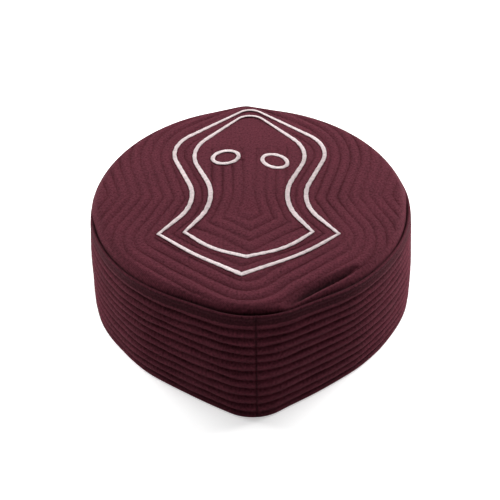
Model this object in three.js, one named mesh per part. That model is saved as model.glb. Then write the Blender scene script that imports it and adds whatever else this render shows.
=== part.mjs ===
// Quilted prayer cap: a band with a pointed rim, a round top panel and an embroidered sandal motif.
// Millimetres, +Z up. The origin is the middle of the rim, on the surface that the cap stands on.
// The seam that closes the band is at -Y, and the toe of the motif points to +Y.
import * as THREE from 'three';

// Whole cap
const HEIGHT = 62.5; // rim to the band's top edge
const WALL = 3; // two layers of cotton twill, quilted over wadding
const GAP = 0.3; // clearance between sewn pieces

// Outline of the band at its two edges. Each end has a round side, a straight flank and a rounded tip.
// reach: middle to tip. tip: the tip's radius. full: how far past the middle the side's arc is centred.
const RIM = {
  halfWidth: 91,
  front: { reach: 106.6, tip: 23, full: 0 },
  back: { reach: 106.6, tip: 23, full: 0 },
};
const TOP_EDGE = {
  halfWidth: 90,
  front: { reach: 95.6, tip: 48, full: 0 },
  back: { reach: 97.8, tip: 14, full: 5 },
};
const QUARTER_STEPS = { side: 9, flank: 3, tip: 5 }; // facets along a quarter of the outline

// Stitched rows and edges of the band
const BAND = {
  hem: 1, // height of the rounded fold at the rim
  hemRound: 0.7,
  rows: 11,
  firstRow: 3.3, // above the rim
  pitch: 5.05,
  rowDepth: 0.7,
  edgeLine: 3, // line of stitching below the top edge
  edgeLineDepth: 0.3,
  lip: 1.6, // folded edge that stands round the top panel
  lipRound: 0.6,
  seamHalf: 0.9, // upright seam
  seamDepth: 0.7,
  innerSteps: 3,
};

// Top panel: a flat dome whose edge rolls down to the seam
const PANEL = {
  edgeDrop: 1.2, // the seam lies this far below the band's top edge
  shoulderRise: 4.8,
  shoulderWidth: 9,
  shoulderPower: 3.5,
  dome: 1,
  margin: 2.5, // plain strip beside the seam
};
// Dent pressed into the right front of the shoulder. angle and halfSpan run round the edge from -Y to +X.
const DENT = {
  angle: THREE.MathUtils.degToRad(28),
  halfSpan: THREE.MathUtils.degToRad(17.5),
  fromEdge: 6.8, // of the fold at its middle
  lean: 1.5, // how much further in its right end lies than its middle
  bow: 1.6, // how much nearer to the seam both of its ends run out
  inward: 8, // reach of the hollow from the fold towards the middle of the panel
  outward: 4, // and towards the seam
  depth: 3.4,
};

// Echo quilting: rows of stitching at whole pitches from the motif's outer outline.
// Rows inside it are negative, and those under the embroidery and the rings are left out.
const ECHO = { pitch: 5.93, depth: 0.6, rows: [-3, -1, 1, 2, 3, 4, 5, 6, 7, 8] };

// Right half of the motif's outlines, from toe to heel: corners with the radius that rounds them
const MOTIF_OUTER = [
  { name: 'toe', x: 0, y: 92.7, radius: 9 },
  { name: 'ball', x: 48.4, y: 51.5, radius: 23.5 },
  { name: 'waist', x: 28, y: -1.5, radius: 32 },
  { name: 'heel corner', x: 49.5, y: -30, radius: 0 },
  { name: 'heel curve', x: 30, y: -47, radius: 106 },
  { name: 'heel point', x: -3.5, y: -64, radius: 0 },
];
const MOTIF_INNER = [
  { name: 'toe', x: 0, y: 88.8, radius: 10 },
  { name: 'ball', x: 36.3, y: 46.8, radius: 26 },
  { name: 'waist', x: 17.1, y: 0.2, radius: 38 },
  { name: 'heel corner', x: 35.2, y: -28.5, radius: 0 },
  { name: 'heel curve', x: 20.5, y: -42.7, radius: 45 },
  { name: 'heel point', x: -1, y: -49.6, radius: 0 },
];
const MOTIF_RINGS = [
  { name: 'motif_ring_left', x: -13.9, y: 40.3, long: 7.8, short: 6.1, tilt: 24 },
  { name: 'motif_ring_right', x: 14.8, y: 36.3, long: 7.9, short: 5.9, tilt: -36 },
];
const MOTIF_PLACE = { x: -0.65, y: -2, turn: THREE.MathUtils.degToRad(-2.2) };
const THREAD = { width: 2.4, height: 0.8 }; // satin stitch
const ARC_STEP = THREE.MathUtils.degToRad(12);
const LONGEST_STITCHED_FACET = 9;
const RING_FACETS = 24;

// Rays from the motif's axis to the panel's edge, right half from heel to toe. start: place on the axis.
const RAYS = [
  { start: -22, endStart: -22, angle: -90, endAngle: -9, steps: 12 },
  { start: -22, endStart: 44, angle: -9, endAngle: 12, steps: 13 },
  { start: 44, endStart: 44, angle: 12, endAngle: 90, steps: 12 },
];
const RAY_HALVINGS = 40; // steps of the search along a ray
const SHORTEST_FACET = 0.3; // a quilted row nearer than this to the margin ends on it

// A closed surface that grows ring by ring
class Shell {
  points = [];
  faces = [];

  vertex(x, y, z) {
    this.points.push(x, y, z);
    return this.points.length / 3 - 1;
  }

  face(a, b, c) {
    if (a !== b && b !== c && c !== a) this.faces.push(a, b, c);
  }

  // Joins each ring of vertices to the next one. Vertices that two rings share leave out the faces between.
  join(rings) {
    for (let r = 0; r + 1 < rings.length; r++) {
      const [from, to] = [rings[r], rings[r + 1]];
      for (let i = 0; i < from.length; i++) {
        const j = (i + 1) % from.length;
        this.face(from[i], from[j], to[j]);
        this.face(from[i], to[j], to[i]);
      }
    }
  }

  geometry() {
    const made = new THREE.BufferGeometry();
    made.setAttribute('position', new THREE.Float32BufferAttribute(this.points, 3));
    made.setIndex(this.faces);
    made.computeVertexNormals();
    return made;
  }
}

// Outline of the band

// A point of the quarter with its tip at +Y, set in from the outline by inset
function quarterPoint(halfWidth, end, inset, stretch, share) {
  const sideRadius = halfWidth + end.full - inset;
  const tipRadius = end.tip - inset;
  const tipCentre = end.reach - end.tip;
  const lean = Math.acos((sideRadius - tipRadius) / Math.hypot(end.full, tipCentre));
  const flankAngle = Math.atan2(tipCentre, end.full) - lean;
  const onSide = (a) => new THREE.Vector2(sideRadius * Math.cos(a) - end.full, sideRadius * Math.sin(a));
  const onTip = (a) => new THREE.Vector2(tipRadius * Math.cos(a), tipCentre + tipRadius * Math.sin(a));
  if (stretch === 'side') return onSide(flankAngle * share);
  if (stretch === 'tip') return onTip(THREE.MathUtils.lerp(flankAngle, Math.PI / 2, share));
  if (stretch === 'seam') return onTip(Math.PI / 2 - BAND.seamHalf / tipRadius);
  return onSide(flankAngle).lerp(onTip(flankAngle), share);
}

// The columns of facets round one end, from +X to -X
function columnsRound(end) {
  const quarter = [];
  for (const [stretch, steps] of Object.entries(QUARTER_STEPS)) {
    for (let i = 0; i < steps; i++) quarter.push({ end, stretch, share: i / steps });
  }
  if (end === 'front') quarter.push({ end, stretch: 'seam', share: 1 });
  const right = quarter.map((column) => ({ ...column, mirror: 1 }));
  const left = quarter.map((column) => ({ ...column, mirror: -1 })).reverse();
  return [...right, { end, stretch: 'tip', share: 1, mirror: 1, onSeam: end === 'front' }, ...left];
}

const COLUMNS = [...columnsRound('back'), ...columnsRound('front').reverse().slice(1, -1)];
const LEDGE = HEIGHT - PANEL.edgeDrop - WALL - GAP; // step inside the lip that carries the top panel

// The outline at a height, anticlockwise from above, with the seam's groove cut by seamDepth.
// It doesn't change along the hem, nor from the ledge up to the top edge.
function outlineAt(height, inset, seamDepth = 0) {
  const share = THREE.MathUtils.clamp((height - BAND.hem) / (LEDGE - BAND.hem), 0, 1);
  const mix = (a, b) => THREE.MathUtils.lerp(a, b, share);
  return COLUMNS.map((column) => {
    const [low, high] = [RIM[column.end], TOP_EDGE[column.end]];
    const end = {
      reach: mix(low.reach, high.reach),
      tip: mix(low.tip, high.tip),
      full: mix(low.full, high.full),
    };
    const depth = column.onSeam ? inset + seamDepth : inset;
    const halfWidth = mix(RIM.halfWidth, TOP_EDGE.halfWidth);
    const point = quarterPoint(halfWidth, end, depth, column.stretch, column.share);
    return new THREE.Vector2(point.x * column.mirror, column.end === 'back' ? point.y : -point.y);
  });
}

// Section through the band, up the outside, over the lip, on to the ledge and down the inside
function bandSection() {
  const { seamDepth, lip, lipRound } = BAND;
  const outside = [
    { height: 0, inset: BAND.hemRound },
    { height: BAND.hem, inset: 0 },
  ];
  for (let row = 0; row < BAND.rows; row++) {
    const height = BAND.firstRow + row * BAND.pitch;
    outside.push({ height, inset: BAND.rowDepth });
    outside.push({ height: height + BAND.pitch / 2, inset: 0 });
  }
  outside.push({ height: HEIGHT - BAND.edgeLine, inset: BAND.edgeLineDepth });
  outside.push({ height: HEIGHT - lipRound, inset: 0 });
  outside.push({ height: HEIGHT, inset: lipRound });
  const inside = [
    { height: HEIGHT, inset: lip },
    { height: LEDGE, inset: lip },
  ];
  for (let step = BAND.innerSteps; step >= 0; step--) {
    inside.push({ height: (LEDGE * step) / BAND.innerSteps, inset: WALL });
  }
  return [
    ...outside.map((row) => ({ ...row, seamDepth })),
    ...inside.map((row) => ({ ...row, seamDepth: 0 })),
  ];
}

function bandGeometry() {
  const shell = new Shell();
  const rings = bandSection().map(({ height, inset, seamDepth }) =>
    outlineAt(height, inset, seamDepth).map((p) => shell.vertex(p.x, p.y, height)),
  );
  shell.join([...rings, rings[0]]);
  return shell.geometry();
}

// Outlines in the plane

// Distance to a closed outline, negative inside it
function signedDistance(outline, x, y) {
  let nearest = Infinity;
  let inside = false;
  for (let i = 0; i < outline.length; i++) {
    const a = outline[i];
    const b = outline[(i + 1) % outline.length];
    const [ex, ey] = [b.x - a.x, b.y - a.y];
    const along = ((x - a.x) * ex + (y - a.y) * ey) / (ex * ex + ey * ey);
    const share = THREE.MathUtils.clamp(along, 0, 1);
    nearest = Math.min(nearest, Math.hypot(x - a.x - share * ex, y - a.y - share * ey));
    if (a.y > y !== b.y > y && x < a.x + ((y - a.y) * ex) / ey) inside = !inside;
  }
  return inside ? -nearest : nearest;
}

// The arc that rounds the corner between two neighbours
function cornerArc(before, corner, after) {
  const here = new THREE.Vector2(corner.x, corner.y);
  if (corner.radius === 0) return [here];
  const toBefore = new THREE.Vector2(before.x, before.y).sub(here).normalize();
  const toAfter = new THREE.Vector2(after.x, after.y).sub(here).normalize();
  const half = Math.acos(toBefore.dot(toAfter)) / 2;
  const bisector = toBefore.clone().add(toAfter).normalize();
  const centre = bisector.multiplyScalar(corner.radius / Math.sin(half)).add(here);
  const first = toBefore.multiplyScalar(corner.radius / Math.tan(half)).add(here).sub(centre);
  const sweep = (Math.PI - 2 * half) * Math.sign(first.cross(here.sub(centre)));
  const steps = Math.ceil(Math.abs(sweep) / ARC_STEP);
  const origin = new THREE.Vector2();
  return Array.from({ length: steps + 1 }, (_, i) =>
    first.clone().rotateAround(origin, (sweep * i) / steps).add(centre),
  );
}

// A whole motif outline from its right half, anticlockwise, in the motif's own frame
function motifOutline(rightHalf) {
  const left = rightHalf.slice(1, -1).map((corner) => ({ ...corner, x: -corner.x }));
  const corners = [...left, rightHalf.at(-1), ...rightHalf.slice(0, -1).reverse()];
  return corners.flatMap((corner, i) =>
    cornerArc(corners.at(i - 1), corner, corners[(i + 1) % corners.length]),
  );
}

// Cuts the long straight stretches of a closed outline
function cutStraights(outline, longest) {
  return outline.flatMap((a, i) => {
    const b = outline[(i + 1) % outline.length];
    const pieces = Math.ceil(a.distanceTo(b) / longest);
    return Array.from({ length: pieces }, (_, k) => a.clone().lerp(b, k / pieces));
  });
}

// From the motif's own frame to the cap's
function onCap(point) {
  const turned = point.clone().rotateAround(new THREE.Vector2(), MOTIF_PLACE.turn);
  return turned.add(new THREE.Vector2(MOTIF_PLACE.x, MOTIF_PLACE.y));
}

// Top panel

const PANEL_EDGE = outlineAt(HEIGHT, BAND.lip + GAP);
const ECHO_OUTLINE = motifOutline(MOTIF_OUTER);

function dentDepth(x, y, fromEdge) {
  const along = (Math.atan2(x, -y) - DENT.angle) / DENT.halfSpan;
  if (Math.abs(along) >= 1) return 0;
  const across = fromEdge - DENT.fromEdge - DENT.lean * along + DENT.bow * along * along;
  const reach = across > 0 ? DENT.inward : DENT.outward;
  if (Math.abs(across) >= reach) return 0;
  return DENT.depth * (1 - along ** 4) * Math.cos((across / reach) * (Math.PI / 2)) ** 2;
}

// Height of the panel's upper face, without its quilting
function panelHeight(x, y) {
  const fromEdge = Math.max(0, -signedDistance(PANEL_EDGE, x, y));
  const roll = 1 - Math.min(fromEdge / PANEL.shoulderWidth, 1);
  const shoulder = PANEL.shoulderRise * (1 - roll ** PANEL.shoulderPower);
  const dome = PANEL.dome * (1 - (1 - fromEdge / TOP_EDGE.halfWidth) ** 2);
  return HEIGHT - PANEL.edgeDrop + shoulder + dome - dentDepth(x, y, fromEdge);
}

// How far along a ray a quantity that grows outwards reaches a level
function reachOf(level, quantity, farthest) {
  let [near, far] = [0, farthest];
  for (let i = 0; i < RAY_HALVINGS; i++) {
    const middle = (near + far) / 2;
    if (quantity(middle) < level) near = middle;
    else far = middle;
  }
  return far;
}

function ray(start, angle, mirror) {
  const radians = THREE.MathUtils.degToRad(angle);
  const direction = new THREE.Vector2(Math.cos(radians) * mirror, Math.sin(radians));
  const at = (s) => new THREE.Vector2(direction.x * s, start + direction.y * s);
  const panelDistance = (s) => {
    const p = onCap(at(s));
    return signedDistance(PANEL_EDGE, p.x, p.y);
  };
  const farthest = RIM.front.reach * 2;
  const edge = reachOf(0, panelDistance, farthest);
  const margin = reachOf(-PANEL.margin, panelDistance, farthest);
  const echo = (s) => signedDistance(ECHO_OUTLINE, at(s).x, at(s).y);
  return { start, edge, margin, at: (s) => onCap(at(s)), reach: (level) => reachOf(level, echo, margin) };
}

// All rays, anticlockwise from the heel point, round the right side, the toe and the left side
function panelRays() {
  const right = RAYS.flatMap(({ start, endStart, angle, endAngle, steps }) =>
    Array.from({ length: steps }, (_, i) => ({
      start: THREE.MathUtils.lerp(start, endStart, i / steps),
      angle: THREE.MathUtils.lerp(angle, endAngle, i / steps),
    })),
  );
  const toe = { start: RAYS.at(-1).endStart, angle: RAYS.at(-1).endAngle };
  const left = right.slice(1).reverse();
  return [
    ...[...right, toe].map((r) => ray(r.start, r.angle, 1)),
    ...left.map((r) => ray(r.start, r.angle, -1)),
  ];
}

// Rings of the quilting from the middle outwards: a crest on each side of every stitched row
function echoRings() {
  const crests = new Set(ECHO.rows.flatMap((row) => [row - 0.5, row + 0.5]));
  const rings = [...crests].map((row) => ({ level: row * ECHO.pitch, lift: 0 }));
  for (const row of ECHO.rows) rings.push({ level: row * ECHO.pitch, lift: -ECHO.depth });
  return rings.sort((a, b) => a.level - b.level);
}

function topPanelGeometry() {
  const shell = new Shell();
  const rays = panelRays();
  const face = (drop) => {
    const place = (p, lift) => shell.vertex(p.x, p.y, panelHeight(p.x, p.y) + lift - drop);
    const onAxis = new Map();
    const axis = rays.map((r) => {
      if (!onAxis.has(r.start)) onAxis.set(r.start, place(r.at(0), 0));
      return onAxis.get(r.start);
    });
    const edge = rays.map((r) => place(r.at(r.edge), 0));
    const margin = rays.map((r) => place(r.at(r.margin), 0));
    const quilted = echoRings().map(({ level, lift }) =>
      rays.map((r, i) => {
        const s = r.reach(level);
        return s < r.margin - SHORTEST_FACET ? place(r.at(s), drop ? 0 : lift) : margin[i];
      }),
    );
    return [axis, ...quilted, margin, edge];
  };
  shell.join([...face(WALL), ...face(0).reverse()]);
  return shell.geometry();
}

// Embroidery: a flat strip of satin stitch that follows the panel
function stitchedLine(path) {
  const shell = new Shell();
  const stations = path.map((here, i) => {
    const before = path.at(i - 1);
    const after = path[(i + 1) % path.length];
    const into = here.clone().sub(before).normalize();
    const out = after.clone().sub(here).normalize();
    const outward = new THREE.Vector2(into.y + out.y, -into.x - out.x).normalize();
    const mitre = outward.dot(new THREE.Vector2(into.y, -into.x));
    return { here, offset: outward.multiplyScalar(THREAD.width / 2 / mitre) };
  });
  const corner = (side, lift) =>
    stations.map(({ here, offset }) => {
      const p = onCap(here.clone().addScaledVector(offset, side));
      return shell.vertex(p.x, p.y, panelHeight(p.x, p.y) + GAP + lift);
    });
  const rings = [corner(1, 0), corner(1, THREAD.height), corner(-1, THREAD.height), corner(-1, 0)];
  shell.join([...rings, rings[0]]);
  return shell.geometry();
}

function stitchedRing({ x, y, long, short, tilt }) {
  const turn = THREE.MathUtils.degToRad(tilt);
  const oval = new THREE.EllipseCurve(x, y, long, short, 0, 2 * Math.PI, false, turn);
  return stitchedLine(oval.getPoints(RING_FACETS).slice(0, -1));
}

// Assembly

const twill = new THREE.MeshStandardMaterial({
  name: 'maroon twill',
  color: 0x5d313a,
  roughness: 0.9,
  metalness: 0,
});
const thread = new THREE.MeshStandardMaterial({
  name: 'off-white thread',
  color: 0xe2d5d4,
  roughness: 0.6,
  metalness: 0,
});

function piece(name, geometry, material) {
  const mesh = new THREE.Mesh(geometry, material);
  mesh.name = name;
  return mesh;
}

const outlines = { motif_outer: MOTIF_OUTER, motif_inner: MOTIF_INNER };

const cap = new THREE.Group();
cap.name = 'prayer_cap';
cap.add(piece('band', bandGeometry(), twill));
cap.add(piece('top_panel', topPanelGeometry(), twill));
for (const [name, half] of Object.entries(outlines)) {
  const path = cutStraights(motifOutline(half), LONGEST_STITCHED_FACET);
  cap.add(piece(name, stitchedLine(path), thread));
}
for (const ring of MOTIF_RINGS) cap.add(piece(ring.name, stitchedRing(ring), thread));

export default cap;
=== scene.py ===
# %% [markdown]
# # A quilted prayer cap
#
# The cap is a soft, round hat of maroon cotton twill. A band stands on a pointed rim, a flat panel
# closes the top, and white satin stitch draws the outline of a sandal on it. The construction model
# gives the sizes. This lesson adds what cloth does to them: quilted rows, stitches, a pressed fold,
# the weave and the sheen of the thread.

# %% Load the construction model
import math

import bpy
import numpy as np
from mathutils import Matrix, Vector


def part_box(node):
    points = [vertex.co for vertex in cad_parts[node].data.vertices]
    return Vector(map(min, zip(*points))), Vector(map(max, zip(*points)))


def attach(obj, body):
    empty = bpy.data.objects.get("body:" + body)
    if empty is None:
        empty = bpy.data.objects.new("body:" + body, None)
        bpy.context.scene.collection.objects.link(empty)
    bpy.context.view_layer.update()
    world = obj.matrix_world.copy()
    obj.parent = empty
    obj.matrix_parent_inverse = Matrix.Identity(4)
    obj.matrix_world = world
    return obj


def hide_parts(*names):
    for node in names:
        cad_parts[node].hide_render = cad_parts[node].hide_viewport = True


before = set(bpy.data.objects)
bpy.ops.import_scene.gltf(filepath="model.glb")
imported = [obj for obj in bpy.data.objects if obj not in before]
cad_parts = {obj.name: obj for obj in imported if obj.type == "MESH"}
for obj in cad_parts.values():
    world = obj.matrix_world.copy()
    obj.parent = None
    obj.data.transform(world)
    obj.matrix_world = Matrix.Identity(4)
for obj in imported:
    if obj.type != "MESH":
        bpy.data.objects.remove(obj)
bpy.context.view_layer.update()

MM = 0.001  # the tables below are in millimetres, and Blender works in metres
band_low, band_high = (np.array(corner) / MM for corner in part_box("band"))
print("nodes:", sorted(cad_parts), "band from", band_low.round(1), "to", band_high.round(1), "mm")

# %% [markdown]
# ## The outline of the band
#
# Seen from above, the rim is a round body drawn out to a point at the front and the back, and the top
# edge is nearly a circle. An outline could be traced point by point, but two arcs and the straight
# flank between them say the same with a few sizes. Every height between the two edges mixes those.

# %% Sizes of the band
HEIGHT = band_high[2]
WALL = 3.0  # two layers of twill over wadding
HEM = 1.0  # up to here the wall stands upright
EDGE_DROP = 1.2  # the top panel is sewn in this far below the band's top edge
GAP = 0.3  # between the panel and the ledge that it sits on
LEDGE = HEIGHT - EDGE_DROP - WALL - GAP
RIM = {  # reach of each end, radius of its tip, and how much fuller than the half width its sides are
    "half_width": band_high[0],
    "front": {"reach": band_high[1], "tip": 23.0, "full": 0.0},
    "back": {"reach": band_high[1], "tip": 23.0, "full": 0.0},
}
TOP_EDGE = {
    "half_width": 90.0,
    "front": {"reach": 95.6, "tip": 48.0, "full": 0.0},
    "back": {"reach": 97.8, "tip": 14.0, "full": 5.0},
}


def outline(height, inset, around):
    """Plan points and outward directions of the band at a height, set in from its outer face by inset.
    around goes from 0 at the seam in front, by the right side and the back, to 1 at the seam again."""
    height, inset, around = np.broadcast_arrays(height, inset, np.asarray(around, float))
    front = (around < 0.25) | (around > 0.75)
    rise = np.clip((height - HEM) / (LEDGE - HEM), 0, 1)

    def size(name):
        low = np.where(front, RIM["front"][name], RIM["back"][name])
        high = np.where(front, TOP_EDGE["front"][name], TOP_EDGE["back"][name])
        return low + (high - low) * rise

    half_width = RIM["half_width"] + (TOP_EDGE["half_width"] - RIM["half_width"]) * rise
    full = size("full")
    tip_y = size("reach") - size("tip")
    side_radius = half_width + full - inset
    tip_radius = size("tip") - inset
    span = np.hypot(full, tip_y)
    flank_angle = np.arctan2(tip_y, full) - np.arccos((side_radius - tip_radius) / span)
    flank = np.sqrt(span**2 - (side_radius - tip_radius) ** 2)
    side = side_radius * flank_angle
    tip = tip_radius * (np.pi / 2 - flank_angle)
    run = (side + flank + tip) * np.abs((4 * around) % 2 - 1)
    on_tip = run > side + flank
    tip_angle = flank_angle + (run - side - flank) / tip_radius
    angle = np.where(on_tip, tip_angle, np.minimum(run, side) / side_radius)
    along = np.clip(run - side, 0, flank)
    x = side_radius * np.cos(angle) - full - along * np.sin(angle)
    y = side_radius * np.sin(angle) + along * np.cos(angle)
    x = np.where(on_tip, tip_radius * np.cos(angle), x)
    y = np.where(on_tip, tip_y + tip_radius * np.sin(angle), y)
    mirror = np.stack([np.where(around < 0.5, 1, -1), np.where(front, -1, 1)], -1)
    return np.stack([x, y], -1) * mirror, np.stack([np.cos(angle), np.sin(angle)], -1) * mirror


def length_round(points):
    return np.linalg.norm(np.roll(points, -1, axis=0) - points, axis=1).sum()


EVENLY = np.linspace(0, 1, 720, endpoint=False)  # a place every half degree or so
RIM_LENGTH = length_round(outline(0, 0, EVENLY)[0])
TOP_LENGTH = length_round(outline(HEIGHT, 0, EVENLY)[0])
ROUND = (RIM_LENGTH + TOP_LENGTH) / 2
print(f"rim {RIM_LENGTH:.1f} mm round, top edge {TOP_LENGTH:.1f} mm round")

# %% [markdown]
# ## Front, sides and back
#
# The panel doesn't meet the band in the same way all round. Along the front its seam gapes and the
# band's folded lip stands clear. At the sides the seam is drawn tight, and along the back the panel is
# puffed up over the lip. Weights could be painted on each mesh for this, but two formulas of a point's
# place do it for every mesh below.

# %% Masks for front and back
COVER_FROM, COVER_TO = -14.0, 8.0  # mm behind the middle between which the panel comes over the lip
COVER_TILT = 0.056  # on the left it does so further forward than on the right
GAPING_FROM = 75.0  # mm in front of the middle from where the seam gapes in full


def cover(plan):
    """How much the puffed panel hides the lip: 0 along the front, 1 along the back."""
    back = plan[..., 1] - COVER_TILT * plan[..., 0]
    share = np.clip((back - COVER_FROM) / (COVER_TO - COVER_FROM), 0, 1)
    return share * share * (3 - 2 * share)


def frontness(plan):
    """1 where the panel's seam gapes at the front, falling to 0 at the sides."""
    return np.clip(-plan[..., 1] / GAPING_FROM, 0, 1)


def side_to_front(sizes, plan):
    return np.interp(frontness(plan), (0, 1), (sizes["side"], sizes["front"]))


quarters = outline(HEIGHT, 0, np.array([0, 0.25, 0.5]))[0]
print("in front, at the right and behind: cover", cover(quarters).round(2))
print("and frontness", frontness(quarters).round(2))

# %% [markdown]
# ## The uneven hand of the sewer
#
# No quilted row is quite straight or quite as deep as the next. Blender has noise textures for this,
# but a mesh that is built from arrays can use a sum of a few sine waves with seeded phases: it is
# smooth, it never jumps, and it comes out the same on every run.

# %% A smooth seeded waver
WAVES = 5
UNEVEN = {  # size, shortest and longest wave in mm, how much faster it wanders across, and seed
    "band row depth": (0.25, 18, 60, 3, 3),
    "band pucker": (0.1, 3.5, 6, 0.3, 4),
    "band slack": (0.3, 45, 120, 1.5, 5),
    "band row drift": (0.35, 25, 70, 2, 6),
    "panel row depth": (0.25, 15, 50, 1, 21),
    "panel pucker": (0.08, 3.5, 6, 1, 22),
    "panel slack": (0.2, 30, 80, 1, 23),
    "satin edge": (0.08, 3, 7, 1, 41),
}


def uneven(name, along, across=None):
    """A value that wanders by about the named size, over one length in mm or over two."""
    size, shortest, longest, faster, seed = UNEVEN[name]
    lengths = [along] if across is None else [along, faster * across]
    rng = np.random.default_rng(seed)
    total = 0
    for _ in range(WAVES):
        wavelength = rng.uniform(shortest, longest)
        heading = rng.normal(size=len(lengths))
        heading /= np.linalg.norm(heading)
        phase = rng.uniform(0, 2 * np.pi)
        run = sum(part * length for part, length in zip(heading, lengths))
        total = total + np.sin(2 * np.pi / wavelength * run + phase)
    return size * (total / math.sqrt(WAVES))


sample = uneven("band slack", np.array([0.0, 10.0, 20.0]), 0.0)
print("slack of the band at 0, 10 and 20 mm:", sample.round(2), "mm")

# %% [markdown]
# ## Meshes from rings
#
# The band and the panel are both stacks of closed rings of points, so one helper joins ring to ring.
# A UV map in metres lies on the cloth as the weave does, and a value on each point tells the material
# how much shade to paint into the cloth there, most where a row of stitching pulls the cloth in.

# %% Join rings to a mesh
def unit(vectors):
    return vectors / np.linalg.norm(vectors, axis=-1, keepdims=True)


def lifted(plan, height):
    return np.concatenate([plan, height[..., None]], axis=-1)


def put_in_scene(name, data):
    made = bpy.data.objects.new(name, data)
    bpy.context.scene.collection.objects.link(made)
    return made


def ring_mesh(name, points, rings, uv, groove, closed=True):
    """Joins each ring of point numbers to the next and, if closed, the last to the first."""
    faces = []
    for ring, following in zip(rings, rings[1:] + rings[:1] * closed):
        corners = np.stack([ring, np.roll(ring, -1), np.roll(following, -1), following], axis=1)
        unique = (list(dict.fromkeys(face)) for face in corners.tolist())
        faces += [face for face in unique if len(face) > 2]
    mesh = bpy.data.meshes.new(name)
    mesh.from_pydata(points * MM, [], faces)
    mesh.polygons.foreach_set("use_smooth", np.ones(len(mesh.polygons), bool))
    # Each point's value of painted shade goes into an attribute that the material reads.
    depth = mesh.attributes.new("groove", "FLOAT", "POINT")
    depth.data.foreach_set("value", groove.astype(np.float32))
    corner_points = np.empty(len(mesh.loops), int)
    mesh.loops.foreach_get("vertex_index", corner_points)
    corner_uv = uv[corner_points] * MM
    layer = mesh.uv_layers.new(name="cloth")
    layer.data.foreach_set("uv", corner_uv.astype(np.float32).ravel())
    mesh.validate()
    return put_in_scene(name, mesh)


def describe(piece):
    mesh = piece.data
    mesh.calc_loop_triangles()
    print(f"{piece.name}: {len(mesh.vertices)} points, {len(mesh.loop_triangles)} triangles")


print("rings become meshes with ring_mesh")

# %% [markdown]
# ## Shader maths in plain Python
#
# A weave is a formula, and a formula is easier to read as `0.5 + 0.5 * rib` than as a row of linked
# boxes. The class below wraps one socket: adding or multiplying two of them adds a Math node.

# %% Sockets that take part in sums
class Socket:
    """The output of a shader node, usable in Python expressions."""

    def __init__(self, finish, socket):
        self.finish = finish
        self.socket = socket

    def maths(self, operation, first, second):
        return self.finish.node("ShaderNodeMath", {"operation": operation}, {0: first, 1: second})

    def __add__(self, other):
        return self.maths("ADD", self, other)

    def __sub__(self, other):
        return self.maths("SUBTRACT", self, other)

    def __rsub__(self, other):
        return self.maths("SUBTRACT", other, self)

    def __mul__(self, other):
        return self.maths("MULTIPLY", self, other)

    def __truediv__(self, other):
        return self.maths("DIVIDE", self, other)

    __radd__ = __add__
    __rmul__ = __mul__


print("sockets can be added, subtracted, multiplied and divided")

# %% [markdown]
# ## Materials that grow node by node
#
# A material starts as a Principled shader, and every other node comes from one method that takes its
# type, its settings and its sockets. The tree of stitches further down needs the same, so the lines
# that make a node and set or link its sockets are functions of their own.

# %% Nodes and finishes
NOISE_DETAIL = 2.0


def set_socket(tree, socket, value):
    source = value.socket if isinstance(value, Socket) else value
    if isinstance(source, bpy.types.NodeSocket):
        tree.links.new(source, socket)
    else:
        socket.default_value = source


def new_node(tree, kind, settings=None, sockets=None):
    """Adds a node, makes its settings, and then sets or links its sockets."""
    made = tree.nodes.new(kind)
    for name, value in (settings or {}).items():
        setattr(made, name, value)
    for name, value in (sockets or {}).items():
        set_socket(tree, made.inputs[name], value)
    return made


class Finish:
    """A material that is built by adding nodes to its Principled shader."""

    def __init__(self, name):
        self.material = bpy.data.materials.new(name)
        self.material.use_nodes = True
        self.tree = self.material.node_tree
        self.shader = self.tree.nodes["Principled BSDF"]

    def node(self, kind, settings=None, sockets=None, output=0):
        return Socket(self, new_node(self.tree, kind, settings, sockets).outputs[output])

    def part(self, vector, axis):
        return self.node("ShaderNodeSeparateXYZ", None, {"Vector": vector}, axis)

    def value_of(self, attribute):
        return self.node("ShaderNodeAttribute", {"attribute_name": attribute}, output="Fac")

    def sine(self, turns):
        return self.node("ShaderNodeMath", {"operation": "SINE"}, {0: turns * (2 * math.pi)})

    def tint(self, colour, value):
        """A colour times a changing value."""
        settings = {"operation": "SCALE"}
        return self.node("ShaderNodeVectorMath", settings, {"Vector": colour, "Scale": value})

    def noise(self, place, scale):
        """Noise between about -0.5 and 0.5, with so many features to a metre."""
        sockets = {"Vector": place, "Scale": scale, "Detail": NOISE_DETAIL}
        return self.node("ShaderNodeTexNoise", {"noise_dimensions": "3D"}, sockets) - 0.5

    def bump(self, height, depth):
        return self.node("ShaderNodeBump", None, {"Height": height, "Distance": depth})

    def set(self, **sockets):
        for name, value in sockets.items():
            title = name.replace("_", " ").title().replace("Ior", "IOR")
            set_socket(self.tree, self.shader.inputs[title], value)


print("finishes are made with", [name for name in vars(Finish) if not name.startswith("_")])

# %% [markdown]
# ## Maroon cotton twill
#
# Twill is woven so that each thread steps one place sideways from the last, which leaves fine ribs on
# the slant. The ribs are a sine wave across the UV map, broken up by a second wave for the crossing
# threads and by slubs, the thick places in a thread. They colour the cloth a little and raise it
# through a Bump node. Each point's value of painted shade darkens the cloth in the grooves, the seams
# and the fold, and below 0 it gives a painted highlight. Loose fibres give cotton a soft sheen.

# %% Twill
RIB_PITCH = 0.85 * MM
THREAD_PITCH = 0.45 * MM
RIB_SLOPE = 0.7
RIB_SHARE = 0.7  # of the weave, and the crossing threads have the rest
RIB_WANDER = 0.5  # how far a slub pushes a rib aside, in pitches
PATCH_SCALE = 45.0
SLUB_SCALE = 800.0
MAROON = (0.0850, 0.0163, 0.0262)
# Shares of the colour; the last is how much of it the painted shade takes away.
TWILL_SHADE = {"weave": 0.18, "patches": 0.3, "slubs": 1.8, "groove": 0.6}
TWILL_ROUGHNESS = {"plain": 0.88, "patches": 0.1, "groove": 0.05}
SLUB_HEIGHT = 1.2  # next to a rib's
TWILL_HEIGHT = 0.11 * MM


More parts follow.
